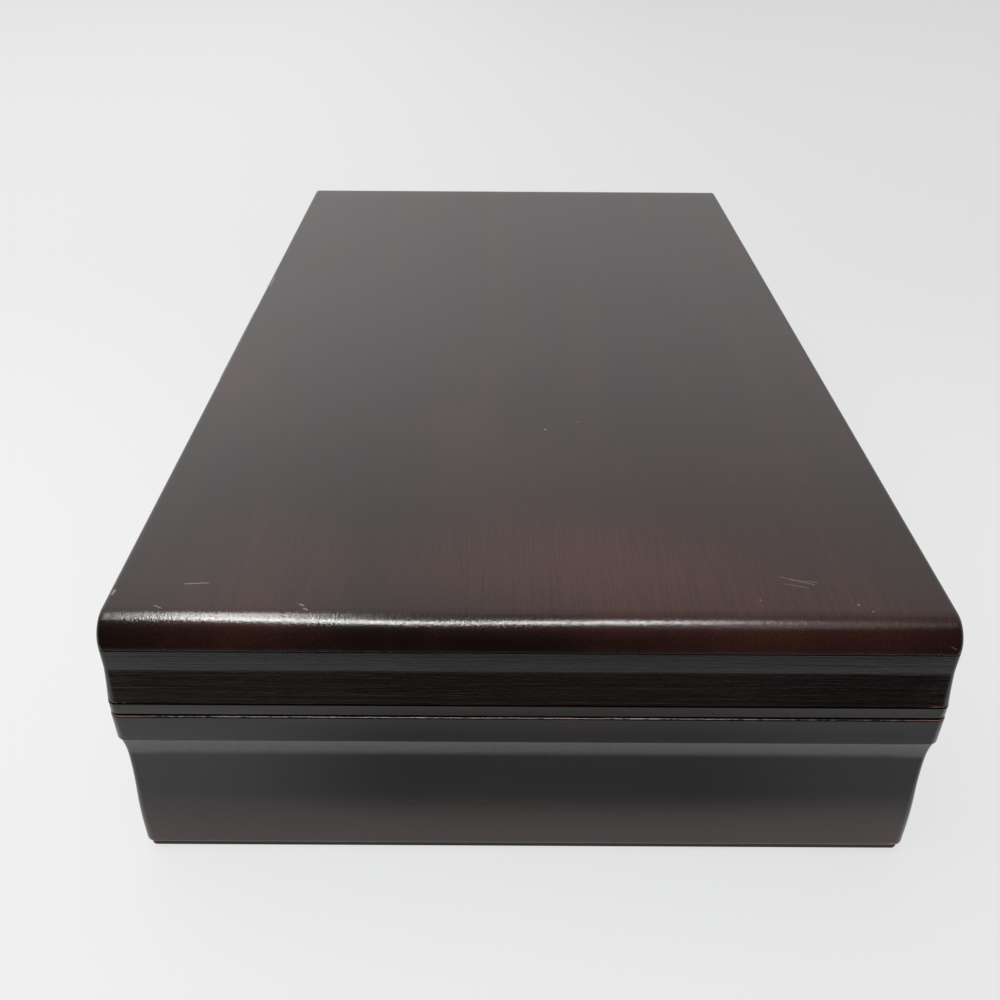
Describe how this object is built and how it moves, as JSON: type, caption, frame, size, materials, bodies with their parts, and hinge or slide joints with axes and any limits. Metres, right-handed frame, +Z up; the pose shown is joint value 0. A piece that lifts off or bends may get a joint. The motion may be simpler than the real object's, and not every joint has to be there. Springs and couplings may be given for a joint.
{
  "type": "silverware chest",
  "caption": "Low moulded wooden chest with a hinged lid, flannel-lined racks for cutlery and a knife rack in the lid.",
  "frame": {"origin": "middle of the felt underside that the chest stands on", "axes": "+X along the long side, +Y to the hinges at the back, +Z up; the finger lift is at -Y"},
  "size_m": [0.4504, 0.2781, 0.1021],
  "materials": {
    "varnished_mahogany": "dark espresso stain under a glossy varnish, worn along the arrises",
    "stained_panel": "dark stained plywood edge",
    "felt": "dark brown pressed felt",
    "flannel": "brown brushed tarnish-proof flannel",
    "brass": "brushed and lacquered brass"
  },
  "bodies": {
    "case": {"case_front_rail": "varnished_mahogany", "case_back_rail": "varnished_mahogany", "case_left_rail": "varnished_mahogany", "case_right_rail": "varnished_mahogany", "bottom_panel": "stained_panel", "base_felt": "felt", "floor_lining": "flannel", "case_lining_front": "flannel", "case_lining_back": "flannel", "case_lining_left": "flannel", "case_lining_right": "flannel", "rack_divider_left": "flannel", "rack_divider_right": "flannel", "rack_end_left": "flannel", "rack_end_right": "flannel", "rack_front_left": "flannel", "rack_front_right": "flannel", "rack_rear_left": "flannel", "rack_rear_right": "flannel", "hinge_case_leaf_left": "brass", "hinge_case_leaf_right": "brass", "hinge_pin_left": "brass", "hinge_pin_right": "brass", "hinge_screws_case": "brass", "stay_pivot_screws": "brass", "stay_pivot_spacers": "brass", "lid_bumpers": "felt"},
    "lid": {"lid_top": "varnished_mahogany", "lid_front_rail": "varnished_mahogany", "lid_back_rail": "varnished_mahogany", "lid_left_rail": "varnished_mahogany", "lid_right_rail": "varnished_mahogany", "finger_lift": "varnished_mahogany", "lid_ceiling_pad": "flannel", "lid_lining_front": "flannel", "lid_lining_back": "flannel", "lid_lining_left": "flannel", "lid_lining_right": "flannel", "knife_rack_handles": "flannel", "knife_rack_blades": "flannel", "hinge_lid_leaf_left": "brass", "hinge_lid_leaf_right": "brass", "hinge_screws_lid": "brass", "stay_pin_screws": "brass", "stay_pin_spacers": "brass"},
    "stay_left": {"stay_arm_left": "brass"},
    "stay_right": {"stay_arm_right": "brass"}
  },
  "joints": [
    {"name": "lid_hinge", "type": "hinge", "parent": "case", "child": "lid", "pos_m": [0, 0.1369, 0.0664], "axis": [-1, 0, 0], "range_deg": [0, 95]},
    {"name": "stay_left_pivot", "type": "hinge", "parent": "case", "child": "stay_left", "pos_m": [-0.2066, 0.1119, 0.0596], "axis": [-1, 0, 0], "range_deg": [0, 103]},
    {"name": "stay_right_pivot", "type": "hinge", "parent": "case", "child": "stay_right", "pos_m": [0.2066, 0.1119, 0.0596], "axis": [-1, 0, 0], "range_deg": [0, 103]}
  ],
  "couplings": [
    {"joint": "stay_left_pivot", "follows": "lid_hinge", "ratio": 1.0644},
    {"joint": "stay_right_pivot", "follows": "lid_hinge", "ratio": 1.0644}
  ]
}
